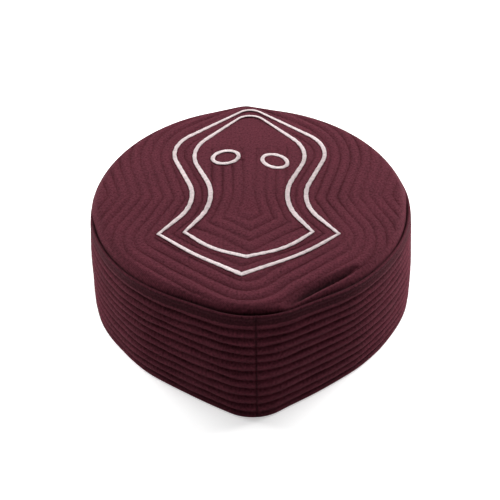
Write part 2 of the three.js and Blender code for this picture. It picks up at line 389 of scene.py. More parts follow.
def maroon_twill():
    finish = Finish("maroon_twill")
    place = finish.node("ShaderNodeUVMap", {"uv_map": "cloth"})
    along, up = finish.part(place, "X"), finish.part(place, "Y")
    groove = finish.value_of("groove")
    patches = finish.noise(place, PATCH_SCALE)
    slubs = finish.noise(place, SLUB_SCALE)
    rib = finish.sine((along + up * RIB_SLOPE) / RIB_PITCH + slubs * RIB_WANDER)
    thread = finish.sine((up - along * RIB_SLOPE) / THREAD_PITCH)
    weave = rib * RIB_SHARE + thread * (1 - RIB_SHARE)
    dyed = patches * TWILL_SHADE["patches"] + slubs * TWILL_SHADE["slubs"]
    woven = 1 + weave * TWILL_SHADE["weave"] + dyed
    rough = patches * TWILL_ROUGHNESS["patches"] + groove * TWILL_ROUGHNESS["groove"]
    # The base colour carries painted shade, and a painted highlight where the value is below 0.
    finish.set(
        base_color=finish.tint(MAROON, woven * (1 - groove * TWILL_SHADE["groove"])),
        roughness=TWILL_ROUGHNESS["plain"] + rough,
        normal=finish.bump(weave + slubs * SLUB_HEIGHT, TWILL_HEIGHT),
    )
    finish.set(sheen_weight=0.02, sheen_roughness=0.5, sheen_tint=(1.0, 0.5, 0.55, 1.0))
    finish.set(specular_ior_level=0.06)
    return finish.material


TWILL = maroon_twill()
print(TWILL.name, "with", len(TWILL.node_tree.nodes), "nodes")

# %% [markdown]
# ## Quilting thread and satin thread
#
# The rows are sewn in thread of the cloth's own colour, which only shows as a slight gloss in the
# groove. The embroidery is an off-white thread with a silky shine, and each pass of the needle lies a
# little differently, so every thread carries a "shade" value of its own.

# %% Threads
SATIN_WHITE = (0.63, 0.53, 0.535)
QUILTING_MAROON = (0.070, 0.0105, 0.0175)
FLUFF_SCALE = 1500.0
FLUFF_ROUGH = 0.2
LAY_SCALE = 500.0
LAY_SHADE = 3  # how much more the lay of the threads shows than their fluff
TWIST_PITCH = 0.4 * MM
TWIST_HEIGHT = 0.3  # next to the fluff's
FLUFF_HEIGHT = 0.05 * MM
SHEEN_SHARE = 0.1


def thread_finish(name, colour, roughness, contrast, gloss):
    finish = Finish(name)
    place = finish.node("ShaderNodeTexCoord", output="Object")
    shade = finish.value_of("shade") - 0.5
    fluff = finish.noise(place, FLUFF_SCALE)
    lay = finish.noise(place, LAY_SCALE)
    twist = finish.sine(finish.part(place, "X") / TWIST_PITCH)
    finish.set(
        base_color=finish.tint(colour, 1 + (shade + fluff + lay * LAY_SHADE) * contrast),
        roughness=roughness + fluff * FLUFF_ROUGH,
        normal=finish.bump(fluff + twist * TWIST_HEIGHT, FLUFF_HEIGHT),
    )
    finish.set(sheen_weight=SHEEN_SHARE * gloss, sheen_roughness=0.4, specular_ior_level=gloss)
    return finish.material


SATIN = thread_finish("off_white_satin_thread", SATIN_WHITE, roughness=0.5, contrast=0.2, gloss=0.4)
QUILTING = thread_finish(
    "maroon_quilting_thread", QUILTING_MAROON, roughness=0.8, contrast=0.3, gloss=0.06
)
print(SATIN.name, "and", QUILTING.name)

# %% [markdown]
# ## Rows of the band
#
# The band is one strip of padded cloth sewn into a ring. Eleven rows of stitching pull it in, and the
# wadding swells between them. A displacement texture could do that, but rings of points placed on
# each groove and crest keep the grooves crisp and go into every export. So the rows are formulas: how
# near a height is to a row, and how far a row wanders up and down as it goes round.

# %% Rows of the band
ROWS = 11
FIRST_ROW = 3.3
ROW_PITCH = 5.05
ROW_HEIGHTS = FIRST_ROW + ROW_PITCH * np.arange(ROWS)
SWELL_POWER = 1.6  # how sharply the cloth dives into a groove
HELD = 6.0  # mm from the rim and from the ledge within which rows are held straight


def dip(distance, half, power=SWELL_POWER):
    """1 on a row of stitching, falling to 0 at the crest half a pitch away."""
    return (1 - np.minimum(np.abs(distance) / half, 1)) ** power


def nearest_row(height):
    return np.abs(np.subtract.outer(height, ROW_HEIGHTS)).min(axis=-1)


def row_drift(height, around):
    """How far a row wanders up or down, in mm. The rim and the top edge stay where they are."""
    free = np.clip(np.minimum(height, LEDGE - height) / HELD, 0, 1)
    return free * uneven("band row drift", around * ROUND, height)


print("rows at", ROW_HEIGHTS.round(1), "mm above the rim")

# %% [markdown]
# ## The soft wall
#
# A padded wall doesn't stand straight. It swells at both sides and bulges low down in three places,
# and its rows are fuller at the sides. Above the rows lies a plain strip with one faint line, and one
# upright seam closes the ring in front. All of it is added up to one value, how far the outer face
# lies inside the plain outline, because the stitches below ask for the same value as the cloth.

# %% Relief of the band
ROW_DEPTH = 1.2
SIDE_DEEPER = 0.6
PUCKER_POWER = 0.3  # small, because the cloth puckers beside a row nearly as much as on it
EDGE_LINE = HEIGHT - 3.0
EDGE_LINE_DEPTH = 0.3
EDGE_LINE_HALF = 1.2
SEAM_DEPTH = 1.0
SEAM_HALF = 1.3
SEAM_OVER_ROW = 0.5  # the seam pulls less where a row pulls already
BELLY = 1.2
BULGES = {
    "right side": {"around": 0.235, "half_span": 0.08, "size": 1.4},
    "front right": {"around": 0.078, "half_span": 0.06, "size": 1.6},
    "front left": {"around": 0.935, "half_span": 0.1, "size": 2.6},
}


def to_sides(around):
    """0 at the front and the back, 1 at both sides."""
    return np.sin(2 * np.pi * around) ** 2


def from_seam(around):
    return np.minimum(around, 1 - around) * ROUND


def belly(height, around):
    """How far the soft wall swells past the plain outline, in mm. The top edge stays put."""
    share = np.clip(height / HEIGHT, 0, 1)
    swell = BELLY * to_sides(around) * (1 - (2 * share - 1) ** 4)
    for bulge in BULGES.values():
        away = (around - bulge["around"] + 0.5) % 1 - 0.5
        window = np.maximum(1 - (away / bulge["half_span"]) ** 2, 0) ** 2
        swell = swell + bulge["size"] * window * (1 - share**2)
    return swell


def band_inset(height, around):
    """How far the outer face lies inside the plain outline, in mm."""
    run = around * ROUND
    row = dip(nearest_row(height), ROW_PITCH / 2)
    depth = ROW_DEPTH * (1 + uneven("band row depth", run, height))
    depth = depth * (1 + SIDE_DEEPER * to_sides(around))
    pucker = uneven("band pucker", run, height) * row**PUCKER_POWER
    slack = uneven("band slack", run, height)
    line = EDGE_LINE_DEPTH * dip(height - EDGE_LINE, EDGE_LINE_HALF)
    seam = SEAM_DEPTH * dip(from_seam(around), SEAM_HALF) * np.clip(height / FIRST_ROW, 0, 1)
    sewn = row * depth + line + np.maximum(seam - SEAM_OVER_ROW * row * depth, 0)
    return sewn + pucker + slack - belly(height, around)


print(f"the wall swells by up to {belly(HEIGHT / 3, EVENLY).max():.1f} mm a third of the way up")

# %% [markdown]
# ## From the hem over the lip
#
# Cut through, the band is a thin padded wall with a rounded hem, a folded lip that stands up round the
# panel, and a ledge inside the lip that the panel sits on. A Solidify modifier could thicken one face,
# but it would thicken the lip as well, so the section lists every ring up the outside and down the
# inside.

# %% Section of the band
LIP = 1.6  # thickness of the lip
LIP_ROUND = 0.8
LIP_INNER_DROP = 0.2  # its inner edge is a little lower than the fold on top
HEM_ROUND = 1.2
HEM_INSIDE = [(HEM_ROUND / 3, WALL - HEM_ROUND / 5), (0, WALL - HEM_ROUND * 0.7)]
FOLD_STEPS = np.linspace(0, np.pi / 2, 5)
ROW_STEPS = np.array([-0.3, -0.15, -0.06, 0, 0.06, 0.15, 0.3, 0.5])  # in pitches, from groove to crest
INNER_STEPS = np.array([-0.2, 0, 0.2, 0.5])
STRIP_RINGS = 11
STRIP_CLEAR = {"below": 0.8, "above": 0.3}  # mm from the last row's rings and from the lip's


def band_section():
    """Heights and insets up the outside, over the lip, on to the ledge and down the inside."""
    hem = [(HEM_ROUND * (1 - math.cos(a)), HEM_ROUND * (1 - math.sin(a))) for a in FOLD_STEPS]
    swells = (ROW_HEIGHTS[:, None] + ROW_PITCH * ROW_STEPS).ravel()
    strip_top = HEIGHT - LIP_ROUND - STRIP_CLEAR["above"]
    strip = np.linspace(swells[-1] + STRIP_CLEAR["below"], strip_top, STRIP_RINGS)
    fold = [(HEIGHT - LIP_ROUND * (1 - math.sin(a)), LIP_ROUND * (1 - math.cos(a))) for a in FOLD_STEPS]
    outside = hem + [(height, 0) for height in (*swells, *strip)] + fold
    inner_swells = (ROW_HEIGHTS[:, None] + ROW_PITCH * INNER_STEPS).ravel()
    inside = [(HEIGHT - LIP_INNER_DROP, LIP), (LEDGE, LIP), (LEDGE, WALL)]
    inside += [(height, WALL) for height in inner_swells[::-1]] + HEM_INSIDE
    return np.array(outside), np.array(inside)


OUTSIDE, INSIDE = band_section()
print(len(OUTSIDE), "rings up the outside,", len(INSIDE), "down the inside")

# %% [markdown]
# ## Painted shade on the band
#
# The rows show as much by their dark grooves as by their relief, so shade is painted into the grooves.
# At both sides the grooves get more painted shade and the crests a painted highlight. The strip above
# the rows holds no wadding and gets painted shade, most at the front, with a faint painted highlight
# at the back. The fold on top of the lip gets a little painted shade, and the crevice beside the panel
# and the upright seam get more. All this could be painted on a texture, but each is a simple function
# of height and place.

# %% Painted shade of the band
GROOVE_POWER = 1.5  # how fast the dark of a groove fades
# At both sides the grooves get more painted shade and the crests a painted highlight.
SIDE_DARKER = 1.0
SIDE_CREST_HIGHLIGHT = 0.55
# Painted shade on the strip above the rows, most at the front; below 0 at the back, a painted
# highlight.
STRIP_DARK = 0.35
STRIP_FRONT = 0.65
# A little painted shade on the fold on top of the lip.
FOLD_DARK = 0.1
# Painted shade in the crevice between the panel and the lip.
SEAM_PAINTED_SHADE = {"side": 0.6, "front": 1.5}  # of the crevice between the panel and the lip


def band_painted_shade(height, around):
    # Painted shade on each point of the band; where it is below 0, a painted highlight.
    sides = to_sides(around)
    row = dip(nearest_row(height), ROW_PITCH / 2, GROOVE_POWER)
    row = row * (1 + SIDE_DARKER * sides) - SIDE_CREST_HIGHLIGHT * sides
    strip = STRIP_DARK + STRIP_FRONT * np.cos(2 * np.pi * around)
    dark = np.where(height > ROW_HEIGHTS[-1] + ROW_PITCH / 2, strip, row)
    # The upright seam gets painted shade too.
    away = from_seam(around)
    dark = np.where(away < SEAM_HALF, np.maximum(dark, dip(away, SEAM_HALF)), dark)
    return np.where(height > HEIGHT - LIP_ROUND, FOLD_DARK, dark)


lowest_row = band_painted_shade(FIRST_ROW, np.array([0.1, 0.25]))
print("dark of the lowest row near the front and at the side:", lowest_row.round(2))

# %% [markdown]
# ## The band
#
# The rings of the section meet columns that run up the wall, closer together beside the upright seam.
# Where the panel covers the lip, the lip is tucked down, and at the sides it has sunk most of the way.

# %% The band
SEAM_STEPS = np.array([0.3, 0.6, 1.0, 1.5, 2.2])  # mm from the upright seam
COLUMN_STEP = 1.4
INNER_ROW_DEPTH = 0.4
LIP_TUCK = 1.3
SIDE_TUCK = 0.8  # share of that by which the lip has sunk at the sides


def band_columns():
    plain = np.arange(SEAM_STEPS[-1] + 1, ROUND - SEAM_STEPS[-1] - 0.5, COLUMN_STEP)
    return np.concatenate([[0], SEAM_STEPS, plain, ROUND - SEAM_STEPS[::-1]]) / ROUND


def band_piece():
    section = np.concatenate([OUTSIDE, INSIDE])
    height, around = np.meshgrid(section[:, 0], band_columns(), indexing="ij")
    inset = np.broadcast_to(section[:, 1:], height.shape).copy()
    outer = np.arange(len(section)) < len(OUTSIDE)
    inset[outer] += band_inset(height, around)[outer]
    padded = ~outer & (section[:, 1] == WALL)
    inset[padded] -= INNER_ROW_DEPTH * dip(nearest_row(height[padded]), ROW_PITCH / 2)
    plan = outline(height, inset, around)[0]
    sunk = np.maximum(cover(plan), SIDE_TUCK * (1 - frontness(plan)))
    tuck = LIP_TUCK * sunk * np.clip((height - LEDGE) / (HEIGHT - LEDGE), 0, 1)
    points = lifted(plan, height + row_drift(height, around) - tuck)
    rings = list(np.arange(height.size).reshape(height.shape))
    groove = band_painted_shade(height, around)
    # The lip's inner face, in the crevice beside the panel, gets painted shade.
    crevice = slice(len(OUTSIDE), len(OUTSIDE) + 2)
    groove[crevice] = side_to_front(SEAM_PAINTED_SHADE, plan[crevice])
    uv = lifted((around * ROUND)[..., None], np.where(outer[:, None], height, -height))
    return ring_mesh("band_cloth", points.reshape(-1, 3), rings, uv.reshape(-1, 2), groove.ravel())


band = band_piece()
band.data.materials.append(TWILL)
describe(band)

# %% [markdown]
# ## Thread laid along a path
#
# Thousands of stitches follow the rows, so they are made by Geometry Nodes. The path is a mesh of
# edges whose points carry two directions: "reach" goes from the middle of a stitch to its end, and
# "up" points away from the cloth. The tree spaces points along the path, bends a short thread into
# an arch, sets one on every point and realizes the lot. The running stitches reach along the path.
# Satin stitch reaches across it. One tree makes both.

# %% Tree for stitches
THREAD_SIDES = 5
THREAD_BENDS = 5
TREE_INPUTS = {
    "Path": "NodeSocketGeometry",
    "Spacing": "NodeSocketFloat",
    "Thread Radius": "NodeSocketFloat",
    "Arch": "NodeSocketFloat",
    "Thread Finish": "NodeSocketMaterial",
    "Seed": "NodeSocketInt",
}


def thread_tree():
    tree = bpy.data.node_groups.new("thread_along_path", "GeometryNodeTree")
    for name, kind in TREE_INPUTS.items():
        tree.interface.new_socket(name, in_out="INPUT", socket_type=kind)
    tree.interface.new_socket("Threads", in_out="OUTPUT", socket_type="NodeSocketGeometry")
    given = new_node(tree, "NodeGroupInput").outputs

    def add(kind, settings=None, sockets=None, output=0):
        return new_node(tree, kind, settings, sockets).outputs[output]

    vector = {"data_type": "FLOAT_VECTOR"}
    reach = add("GeometryNodeInputNamedAttribute", vector, {"Name": "reach"})
    up = add("GeometryNodeInputNamedAttribute", vector, {"Name": "up"})
    half_length = add("ShaderNodeVectorMath", {"operation": "LENGTH"}, {0: reach}, "Value")
    stretch = add("ShaderNodeCombineXYZ", None, {"X": half_length, "Y": 1.0, "Z": 1.0})
    axes = {"primary_axis": "Z", "secondary_axis": "X"}
    turn = add("FunctionNodeAxesToRotation", axes, {"Primary Axis": up, "Secondary Axis": reach})

    control_height = add("ShaderNodeMath", {"operation": "MULTIPLY"}, {0: given["Arch"], 1: 2.0})
    middle = add("ShaderNodeCombineXYZ", None, {"Z": control_height})
    ends = {"Resolution": THREAD_BENDS, "Start": (-1, 0, 0), "Middle": middle, "End": (1, 0, 0)}
    arch = add("GeometryNodeCurveQuadraticBezier", None, ends)
    section = {"Resolution": THREAD_SIDES, "Radius": given["Thread Radius"]}
    profile = add("GeometryNodeCurvePrimitiveCircle", {"mode": "RADIUS"}, section)
    sweep = {"Curve": arch, "Profile Curve": profile, "Fill Caps": True}
    thread = add("GeometryNodeCurveToMesh", None, sweep)

    curve = add("GeometryNodeMeshToCurve", None, {"Mesh": given["Path"]})
    spacing = {"Curve": curve, "Length": given["Spacing"]}
    points = add("GeometryNodeResampleCurve", {"mode": "LENGTH"}, spacing)
    laid = {"Points": points, "Instance": thread, "Rotation": turn, "Scale": stretch}
    instances = add("GeometryNodeInstanceOnPoints", None, laid)
    from_0_to_1 = {2: 0.0, 3: 1.0, 8: given["Seed"]}
    drawn = add("FunctionNodeRandomValue", {"data_type": "FLOAT"}, from_0_to_1, 1)
    per_thread = {"data_type": "FLOAT", "domain": "INSTANCE"}
    stored = {"Geometry": instances, "Name": "shade", "Value": drawn}
    shaded = add("GeometryNodeStoreNamedAttribute", per_thread, stored)
    realized = add("GeometryNodeRealizeInstances", None, {"Geometry": shaded})
    smooth = add("GeometryNodeSetShadeSmooth", None, {"Geometry": realized})
    coloured = {"Geometry": smooth, "Material": given["Thread Finish"]}
    finished = add("GeometryNodeSetMaterial", None, coloured)
    new_node(tree, "NodeGroupOutput", None, {"Threads": finished})
    return tree


THREAD_TREE = thread_tree()
SOCKET_OF = {s.name: s.identifier for s in THREAD_TREE.interface.items_tree if s.in_out == "INPUT"}
print("thread tree with inputs", list(SOCKET_OF))

# %% [markdown]
# ## From a path to a piece
#
# The tree runs as a modifier on the path. A modifier could stay live, but a piece should be a plain
# mesh, so the evaluated result is turned into one and takes the place of the path.

# %% Lay a thread
def lay_thread(name, path, spacing, radius, arch, finish, seed):
    """Turns a path of points, edges, reaches and ups in mm into a mesh of separate threads."""
    points, edges, reach, up = path
    mesh = bpy.data.meshes.new(name)
    mesh.from_pydata(points * MM, edges, [])
    for key, values in {"reach": reach * MM, "up": up}.items():
        attribute = mesh.attributes.new(key, "FLOAT_VECTOR", "POINT")
        attribute.data.foreach_set("vector", values.astype(np.float32).ravel())
    piece = put_in_scene(name, mesh)
    modifier = piece.modifiers.new("thread", "NODES")
    modifier.node_group = THREAD_TREE
    sizes = {"Spacing": spacing * MM, "Thread Radius": radius * MM, "Arch": arch * MM}
    for key, value in (sizes | {"Thread Finish": finish, "Seed": seed}).items():
        modifier[SOCKET_OF[key]] = value
    evaluated = piece.evaluated_get(bpy.context.evaluated_depsgraph_get())
    threads = bpy.data.meshes.new_from_object(evaluated)
    piece.modifiers.remove(modifier)
    piece.data = threads
    threads.name = name
    for key in ("reach", "up"):
        if key in threads.attributes:
            threads.attributes.remove(threads.attributes[key])
    return piece


print("paths become threads with lay_thread")

# %% [markdown]
# ## Stitches of the band
#
# Each of the eleven rows is a running stitch that starts and ends at the upright seam. The path lies
# on the bottom of the groove, a hair above the cloth, and the stitches arch up between their ends.

# %% Running stitches round the band
RUNNING_STITCH = {"spacing": 3.1, "radius": 0.2, "arch": 0.12, "finish": QUILTING}
STITCH_HALF_LENGTH = 1.15
BAND_STITCH_LIFT = 0.05


def band_stitch_path():
    around = np.linspace(SEAM_HALF, ROUND - SEAM_HALF, int(ROUND / COLUMN_STEP)) / ROUND
    height, around = np.meshgrid(ROW_HEIGHTS, around, indexing="ij")
    plan, outward = outline(height, band_inset(height, around) - BAND_STITCH_LIFT, around)
    points = lifted(plan, height + row_drift(height, around))
    reach = STITCH_HALF_LENGTH * unit(np.gradient(points, axis=1))
    up = lifted(outward, np.zeros(height.shape))
    numbers = np.arange(height.size).reshape(height.shape)
    edges = np.stack([numbers[:, :-1], numbers[:, 1:]], axis=-1).reshape(-1, 2)
    return points.reshape(-1, 3), edges.tolist(), reach.reshape(-1, 3), up.reshape(-1, 3)


band_stitches = lay_thread("band_stitches", band_stitch_path(), **RUNNING_STITCH, seed=11)
describe(band_stitches)

# %% [markdown]
# ## The sandal motif
#
# The motif is a traditional outline of a sandal seen from above: a pointed toe, a broad ball, a narrow
# waist and a heel with two corners. A Bezier curve could be bent to it by hand. Here half of it is six
# corners, each with the radius that rounds it and half the width of the embroidered line there, and
# the other half is its mirror image. The tip of the heel lies a little to one side.

# %% Outline of the motif
MOTIF_OUTER = {  # x, y, radius and half width of the line
    "toe": (0, 92.7, 9, 0.7),
    "ball": (48.4, 51.5, 23.5, 1.1),
    "waist": (28, -1.5, 32, 1.2),
    "heel corner": (49.5, -30, 0, 0.75),
    "heel curve": (30, -47, 106, 1.05),
    "heel point": (-3.5, -64, 0, 1.3),
}
MOTIF_INNER = {
    "toe": (0, 88.8, 10, 0.7),
    "ball": (36.3, 46.8, 26, 1.1),
    "waist": (17.1, 0.2, 38, 1.25),
    "heel corner": (35.2, -28.5, 0, 0.8),
    "heel curve": (20.5, -42.7, 45, 1.1),
    "heel point": (-1, -49.6, 0, 1.2),
}
ARC_STEP = math.radians(4)
STRAIGHT_STEP = 1.5


def corner_arc(before, corner, after):
    """Points of the arc that rounds a corner, or the corner itself if its radius is 0."""
    here, radius = np.array(corner[:2], float), corner[2]
    if radius == 0:
        return [here]
    to_before, to_after = (unit(np.array(end[:2], float) - here) for end in (before, after))
    half = math.acos(to_before @ to_after) / 2
    centre = here + unit(to_before + to_after) * radius / math.sin(half)
    first = here + to_before * radius / math.tan(half) - centre
    toward = here - centre
    sweep = (math.pi - 2 * half) * np.sign(first[0] * toward[1] - first[1] * toward[0])
    turns = np.linspace(0, sweep, math.ceil(abs(sweep) / ARC_STEP) + 1)
    x = first[0] * np.cos(turns) - first[1] * np.sin(turns)
    y = first[0] * np.sin(turns) + first[1] * np.cos(turns)
    return list(np.stack([x, y], axis=1) + centre)


def motif_outline(right_half):
    """The whole outline, anticlockwise in the motif's frame, and half the line's width along it."""
    right = list(right_half.values())
    left = [(-x, *sizes) for x, *sizes in right[1:-1]]
    corners = left + right[:0:-1] + right[:1]
    rounded = []
    for i, corner in enumerate(corners):
        arc = corner_arc(corners[i - 1], corner, corners[(i + 1) % len(corners)])
        rounded += [np.append(point, corner[3]) for point in arc]
    cut = []
    for here, following in zip(rounded, rounded[1:] + rounded[:1]):
        step = following - here
        pieces = math.ceil(np.linalg.norm(step[:2]) / STRAIGHT_STEP)
        cut += [here + step * k / pieces for k in range(pieces)]
    cut = np.array(cut)
    return cut[:, :2], cut[:, 2]


OUTER, OUTER_HALF_WIDTH = motif_outline(MOTIF_OUTER)
INNER, INNER_HALF_WIDTH = motif_outline(MOTIF_INNER)
print(f"outer line {length_round(OUTER):.0f} mm long, inner line {length_round(INNER):.0f} mm long")

# %% [markdown]
# ## The two rings of the motif
#
# Two oval rings stand where the straps of the sandal would pass through, each tilted its own way. The
# motif has a frame of its own, and the whole of it lies slightly turned and off the cap's middle.

# %% Rings of the motif
MOTIF_PLACE = np.array([-0.65, -2.0])
MOTIF_TURN = math.radians(-2.2)
MOTIF_RINGS = {  # x, y, half the length, half the width, and tilt in degrees
    "motif_ring_left": (-13.9, 40.3, 7.8, 6.1, 24),
    "motif_ring_right": (14.8, 36.3, 7.9, 5.9, -36),
}
RING_POINTS = 60


def turned(points, angle):
    c, s = math.cos(angle), math.sin(angle)
    return points @ np.array([[c, s], [-s, c]])


def on_cap(points):
    """From the motif's own frame to the cap's."""
    return turned(points, MOTIF_TURN) + MOTIF_PLACE


def oval(x, y, long, short, tilt):
    turns = np.linspace(0, 2 * np.pi, RING_POINTS, endpoint=False)
    points = np.stack([long * np.cos(turns), short * np.sin(turns)], axis=1)
    return turned(points, math.radians(tilt)) + (x, y)


RINGS = {name: oval(*sizes) for name, sizes in MOTIF_RINGS.items()}
print({name: round(length_round(ring)) for name, ring in RINGS.items()}, "mm round")

# %% [markdown]
# ## Distances in the plane
#
# The rows on the panel echo the motif: each keeps its distance from an outline. So the whole pattern
# comes from one quantity, the distance to a closed outline, counted negative inside it.

# %% Distance to an outline
CHUNK = 4000  # points at a time, to save memory


def signed_distance(points, closed):
    """Distance from each point to a closed outline, negative inside it."""
    edge = np.roll(closed, -1, axis=0) - closed
    safe_rise = np.where(edge[:, 1] == 0, 1, edge[:, 1])
    result = np.empty(len(points))
    for first in range(0, len(points), CHUNK):
        point = points[first : first + CHUNK, None]
        offset = point - closed
        share = np.clip((offset * edge).sum(-1) / (edge**2).sum(-1), 0, 1)
        gap = np.linalg.norm(offset - share[..., None] * edge, axis=-1).min(axis=1)
        above = closed[:, 1] > point[..., 1]
        crosses = above != np.roll(above, -1, axis=1)
        crossing = closed[:, 0] + offset[..., 1] * edge[:, 0] / safe_rise
        inside = (crosses & (point[..., 0] < crossing)).sum(axis=1) % 2 == 1
        result[first : first + CHUNK] = np.where(inside, -gap, gap)
    return result


middle_gap = signed_distance(np.zeros((1, 2)), OUTER)[0]
print(f"the motif's middle lies {-middle_gap:.1f} mm inside its outer line")

# %% [markdown]
# ## The edge of the top panel
#
# The panel is a padded round of cloth that is sewn in within the band's lip. Its underside keeps that
# size all round. Its top face does so along the front and runs out over the lip along the back, so the
# two faces have a plan outline each. Both come from the band's outline, set in, and always fit it.

# %% Edges of the panel
SEAT_INSET = LIP + 0.1  # sewn in tight, with a slit of a tenth of a millimetre
COVER_INSET = 0.1  # how far in from the band's face the panel ends where it covers the lip
MARGIN = 2.5  # plain strip beside the seam


def panel_edges():
    under = outline(HEIGHT, SEAT_INSET, EVENLY[::2])[0]
    inset = SEAT_INSET + (COVER_INSET - SEAT_INSET) * cover(under)
    return {"top": outline(HEIGHT, inset, EVENLY[::2])[0], "under": under}


PANEL_EDGE = panel_edges()
PANEL_MARGIN = outline(HEIGHT, SEAT_INSET + MARGIN, EVENLY)[0]
print({side: round(length_round(edge)) for side, edge in PANEL_EDGE.items()}, "mm round")

# %% [markdown]
# ## A pressed fold
#
# A thumb has pressed in the right front shoulder of the panel. Cloth doesn't take a round dent there:
# it sinks into a hollow that ends in a sharp fold and rolls up softly beyond it. The fold could be
# sculpted, but a formula can be moved and deepened, and rows and stitches follow it without being told.

# %% Fold of the panel
DENT_ANGLE = math.radians(26)  # round from the front to the right
DENT_HALF_SPAN = math.radians(17.5)
DENT_FROM_EDGE = 5.9  # of the fold at its middle
DENT_LEAN = 2.2  # how much further in its right end lies than its middle
DENT_BOW = 1.8  # how much nearer to the seam both of its ends run out
DENT_INWARD = 4.6  # width of the hollow
DENT_FLARE = 0.3  # it is wider at its left end
DENT_OUTWARD = 3.6  # width of the roll
DENT_SHARP = 1.6
DENT_DEPTH = 4.8


def dent(plan, from_edge):
    """How far the panel is pressed in, in mm."""
    along = (np.arctan2(plan[:, 0], -plan[:, 1]) - DENT_ANGLE) / DENT_HALF_SPAN
    across = from_edge - DENT_FROM_EDGE - DENT_LEAN * along + DENT_BOW * along**2
    hollow = DENT_INWARD * (1 - DENT_FLARE * np.clip(along, -1, 1))
    half = np.where(across > 0, hollow, DENT_OUTWARD)
    return DENT_DEPTH * np.maximum(1 - np.abs(along) ** 3, 0) * dip(across, half, DENT_SHARP)


to_fold = np.array([[math.sin(DENT_ANGLE), -math.cos(DENT_ANGLE)]])
print("pressed in by", dent(to_fold, DENT_FROM_EDGE)[0].round(1), "mm at the fold's middle")

# %% [markdown]
# ## The plain panel
#
# Before it is quilted, the panel is a flat dome whose shoulder rolls down into the seam. Its height is
# a formula of the distance from its edge, and the quilting is taken off it later, row by row.

# %% Height of the plain panel
SHOULDER_RISE = 4.8
BACK_RISE = 0.6
SHOULDER_WIDTH = 9.0
SHOULDER_POWER = 3.5
DOME = 1.0


def panel_height(plan, side="top"):
    """Height of the plain panel and the distance in from its edge."""
    from_edge = np.maximum(-signed_distance(plan, PANEL_EDGE[side]), 0)
    puffed = cover(plan) if side == "top" else 0
    roll = 1 - np.minimum(from_edge / SHOULDER_WIDTH, 1)
    shoulder = (SHOULDER_RISE + BACK_RISE * puffed) * (1 - roll**SHOULDER_POWER)
    dome = DOME * (1 - (1 - from_edge / TOP_EDGE["half_width"]) ** 2)
    return HEIGHT - EDGE_DROP + shoulder + dome - dent(plan, from_edge), from_edge


middle_height = panel_height(np.zeros((1, 2)))[0][0]
print(f"the panel's middle is {middle_height:.1f} mm above the rim")

# %% [markdown]
# ## Rows that echo the motif
#
# Outside, the rows keep their distance from a sandal that the sewer drew a little off the embroidered
# one, with a sharper waist and a longer, blunt heel, so they swing round the heel and kink beside the
# waist. Between the two white lines runs a single row. Inside, the rows follow a plainer sandal with
# straight sides, so that two of them pass between the rings. The heel is squeezed before distances
# are taken, which spreads the rows there.

# %% Lines that the rows keep their distance from
ECHO_PITCH = 5.93
ECHO_OUTSIDE = {  # as for the motif, but a row is a line of no width
    "toe": (0, 92.7, 9, 0),
    "ball": (48.2, 55.9, 31.2, 0),
    "waist": (33.4, 2.1, 6.8, 0),
    "heel corner": (48.3, -32.1, 0, 0),
    "heel curve": (17.1, -57.1, 0, 0),
    "heel point": (4.2, -71.4, 11.8, 0),
}
ECHO_SHIFT = np.array([-2.4, -1.1])
ECHO_INSIDE = {
    "toe": (0, 93.6, 9, 0),
    "ball": (34.6, 63.8, 10.8, 0),
    "waist": (32.3, -0.1, 38, 0),
    "heel corner": (49.9, -27.6, 0, 0),
    "heel curve": (25.6, -43.7, 94, 0),
    "heel point": (1.1, -63.4, 5.6, 0),
}
INSIDE_SQUEEZE = {"start": -7.4, "share": 0.76}
OUTSIDE_SQUEEZE = {"start": -21.2, "share": 0.81}
INSIDE_CREST = -1.5 * ECHO_PITCH  # the rows inside start beyond this level


def squeezed(points, start, share):
    """Points with the heel drawn up towards the waist."""
    x, y = points.T
    return np.stack([x, np.where(y < start, start + (y - start) * share, y)], axis=1)


OUTSIDE_LINE = squeezed(motif_outline(ECHO_OUTSIDE)[0], **OUTSIDE_SQUEEZE)
INSIDE_LINE = squeezed(motif_outline(ECHO_INSIDE)[0], **INSIDE_SQUEEZE)


def outside_level(points):
    return signed_distance(squeezed(points - ECHO_SHIFT, **OUTSIDE_SQUEEZE), OUTSIDE_LINE)


def between_level(points):
    return signed_distance(points, OUTER)


def inside_level(points):
    level = signed_distance(squeezed(points, **INSIDE_SQUEEZE), INSIDE_LINE)
    return np.minimum(level, INSIDE_CREST)


print("echo rows every", ECHO_PITCH, "mm from their lines")

# %% [markdown]
# ## Relief of the panel
#
# A row dips into the panel as it does into the band, but it is sewn less tightly. It stops short of the
# embroidery, which presses the cloth down on its own, and inside the motif it peters out towards the
# toe. Towards the front the rows are pulled tighter. A normal map could fake this, but the light falls
# along the panel and shows real relief best.

# %% Relief of the panel
ECHO_DEPTH = 0.48
FRONT_DEEPER = {"start": -50.0, "end": -80.0, "share": 0.6}
TOE_FADE = {"start": 40.0, "end": 54.0}
EMBROIDERY_CLEAR = 2.2  # rows stop this near to the middle of an embroidered line
EMBROIDERY_PRESS = 0.25
PRESS_WIDTH = 2.0
# Painted shade in the grooves of the rows.
PANEL_DARK = 0.27
# A faint painted shade along the embroidery.
BESIDE = {"dark": 0.5, "away": 1.8, "width": 0.6}  # a faint dark line along the embroidery


def between(value, start, end):
    """0 before the start, rising to 1 at the end."""
    return np.clip((value - start) / (end - start), 0, 1)


def echo_dip(level, power):
    """1 on a row of the echo quilting, 0 at the crests."""
    return dip(level - np.round(level / ECHO_PITCH) * ECHO_PITCH, ECHO_PITCH / 2, power)


